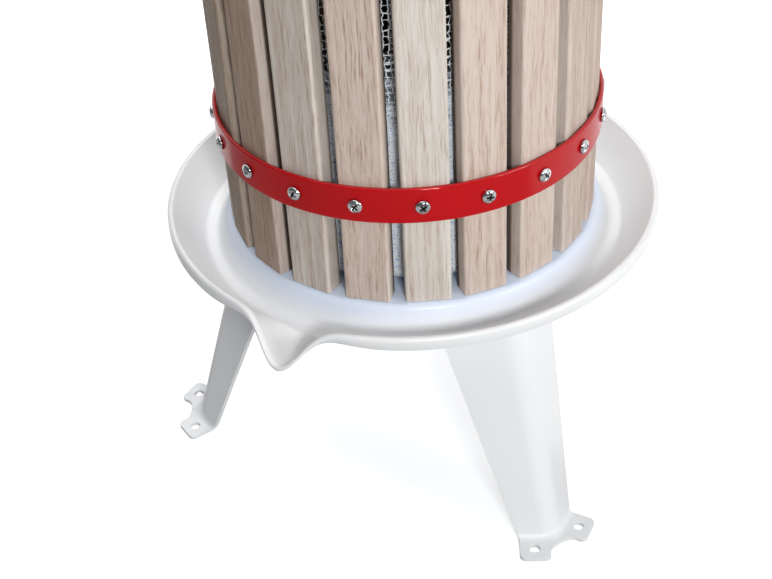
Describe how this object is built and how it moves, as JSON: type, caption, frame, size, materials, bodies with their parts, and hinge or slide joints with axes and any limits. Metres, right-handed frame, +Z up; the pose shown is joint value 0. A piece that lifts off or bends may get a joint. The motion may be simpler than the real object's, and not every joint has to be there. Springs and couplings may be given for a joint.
{
  "type": "fruit press",
  "caption": "Basket fruit press: slatted oak basket with red hoops on a white spouted tray with folded legs, net bag, central screw spindle, pressing plates and a turning press head.",
  "frame": {"origin": "on the floor, at the centre of the circle through the foot holes", "axes": "+Z up along the spindle, -Y towards the spout, +X to the right seen from the spout"},
  "size_m": [0.424, 0.374, 0.654],
  "materials": {
    "white_enamel": "glossy white enamel",
    "zinc": "bright zinc plate",
    "bright_steel": "turned bright steel",
    "rubber": "matt black rubber",
    "oak": "planed pale oak",
    "red_paint": "glossy red paint",
    "net": "white net cloth"
  },
  "bodies": {
    "stand": {"tray": "white_enamel", "front_right_leg": "white_enamel", "front_left_leg": "white_enamel", "rear_leg": "white_enamel", "leg_bolts": "zinc", "leg_nuts": "zinc", "spindle": "bright_steel", "spindle_gasket": "rubber", "base_plate": "bright_steel", "base_washer": "zinc", "base_nut": "zinc", "press_bag": "net"},
    "basket": {"stave_01": "oak", "stave_02": "oak", "stave_03": "oak", "stave_04": "oak", "stave_05": "oak", "stave_06": "oak", "stave_07": "oak", "stave_08": "oak", "stave_09": "oak", "stave_10": "oak", "stave_11": "oak", "stave_12": "oak", "stave_13": "oak", "stave_14": "oak", "stave_15": "oak", "stave_16": "oak", "stave_17": "oak", "stave_18": "oak", "stave_19": "oak", "stave_20": "oak", "lower_hoop": "red_paint", "upper_hoop": "red_paint", "lower_screws": "zinc", "upper_screws": "zinc"},
    "press_stack": {"press_plate_left": "oak", "press_plate_right": "oak", "lower_block_front": "oak", "lower_block_rear": "oak", "upper_block_left": "oak", "upper_block_right": "oak", "thrust_plate": "bright_steel"},
    "handle": {"press_head": "red_paint", "left_arm": "bright_steel", "right_arm": "bright_steel", "left_grip": "oak", "right_grip": "oak"}
  },
  "joints": [
    {"name": "press_travel", "type": "slide", "parent": "stand", "child": "press_stack", "axis": [0, 0, 1], "range_m": [-0.05, 0.025]},
    {"name": "handle_turn", "type": "hinge", "parent": "press_stack", "child": "handle", "pos_m": [0, 0, 0.5], "axis": [0, 0, 1], "range_deg": [-3600, 1800]},
    {"name": "basket_lift", "type": "slide", "parent": "stand", "child": "basket", "axis": [0, 0, 1], "range_m": [0, 0.015]}
  ],
  "couplings": [
    {"joint": "press_travel", "follows": "handle_turn", "m_per_rad": 0.00079577}
  ]
}
